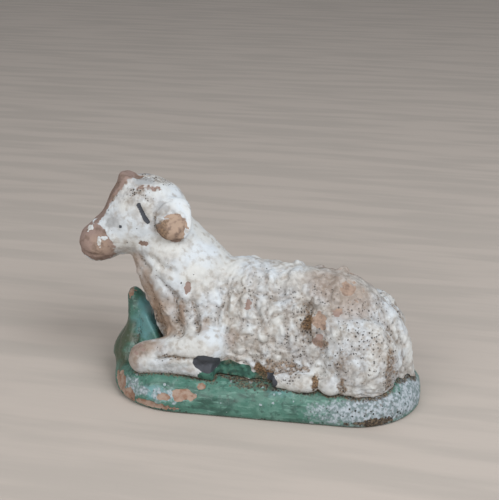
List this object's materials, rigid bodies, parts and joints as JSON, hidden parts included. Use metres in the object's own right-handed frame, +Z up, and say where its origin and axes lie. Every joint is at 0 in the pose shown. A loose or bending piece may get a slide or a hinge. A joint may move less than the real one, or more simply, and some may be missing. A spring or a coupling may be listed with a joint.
{
  "type": "sheep figurine",
  "caption": "Small lying sheep of painted terracotta with folded legs, raised and slightly turned head and hanging ears, on an oval green ground with a grass mound.",
  "frame": {"origin": "centre of the ground slab's flat underside", "axes": "+X along the slab from the sheep's nose to its tail, +Y to the sheep's right, +Z up from the surface that it stands on"},
  "size_m": [0.0872, 0.04, 0.0558],
  "materials": {
    "white_paint": "matt chalky off-white paint, worn to bare pink-brown terracotta",
    "green_paint": "worn satin blue-green paint, chipped to bare terracotta"
  },
  "bodies": {
    "root": {"ground_slab": "green_paint", "grass_mound": "green_paint", "trunk": "white_paint", "neck": "white_paint", "head": "white_paint", "left_ear": "white_paint", "right_ear": "white_paint", "left_foreleg": "white_paint", "right_foreleg": "white_paint", "left_haunch": "white_paint", "right_haunch": "white_paint", "left_hind_foot": "white_paint", "right_hind_foot": "white_paint", "tail": "white_paint"}
  },
  "joints": []
}
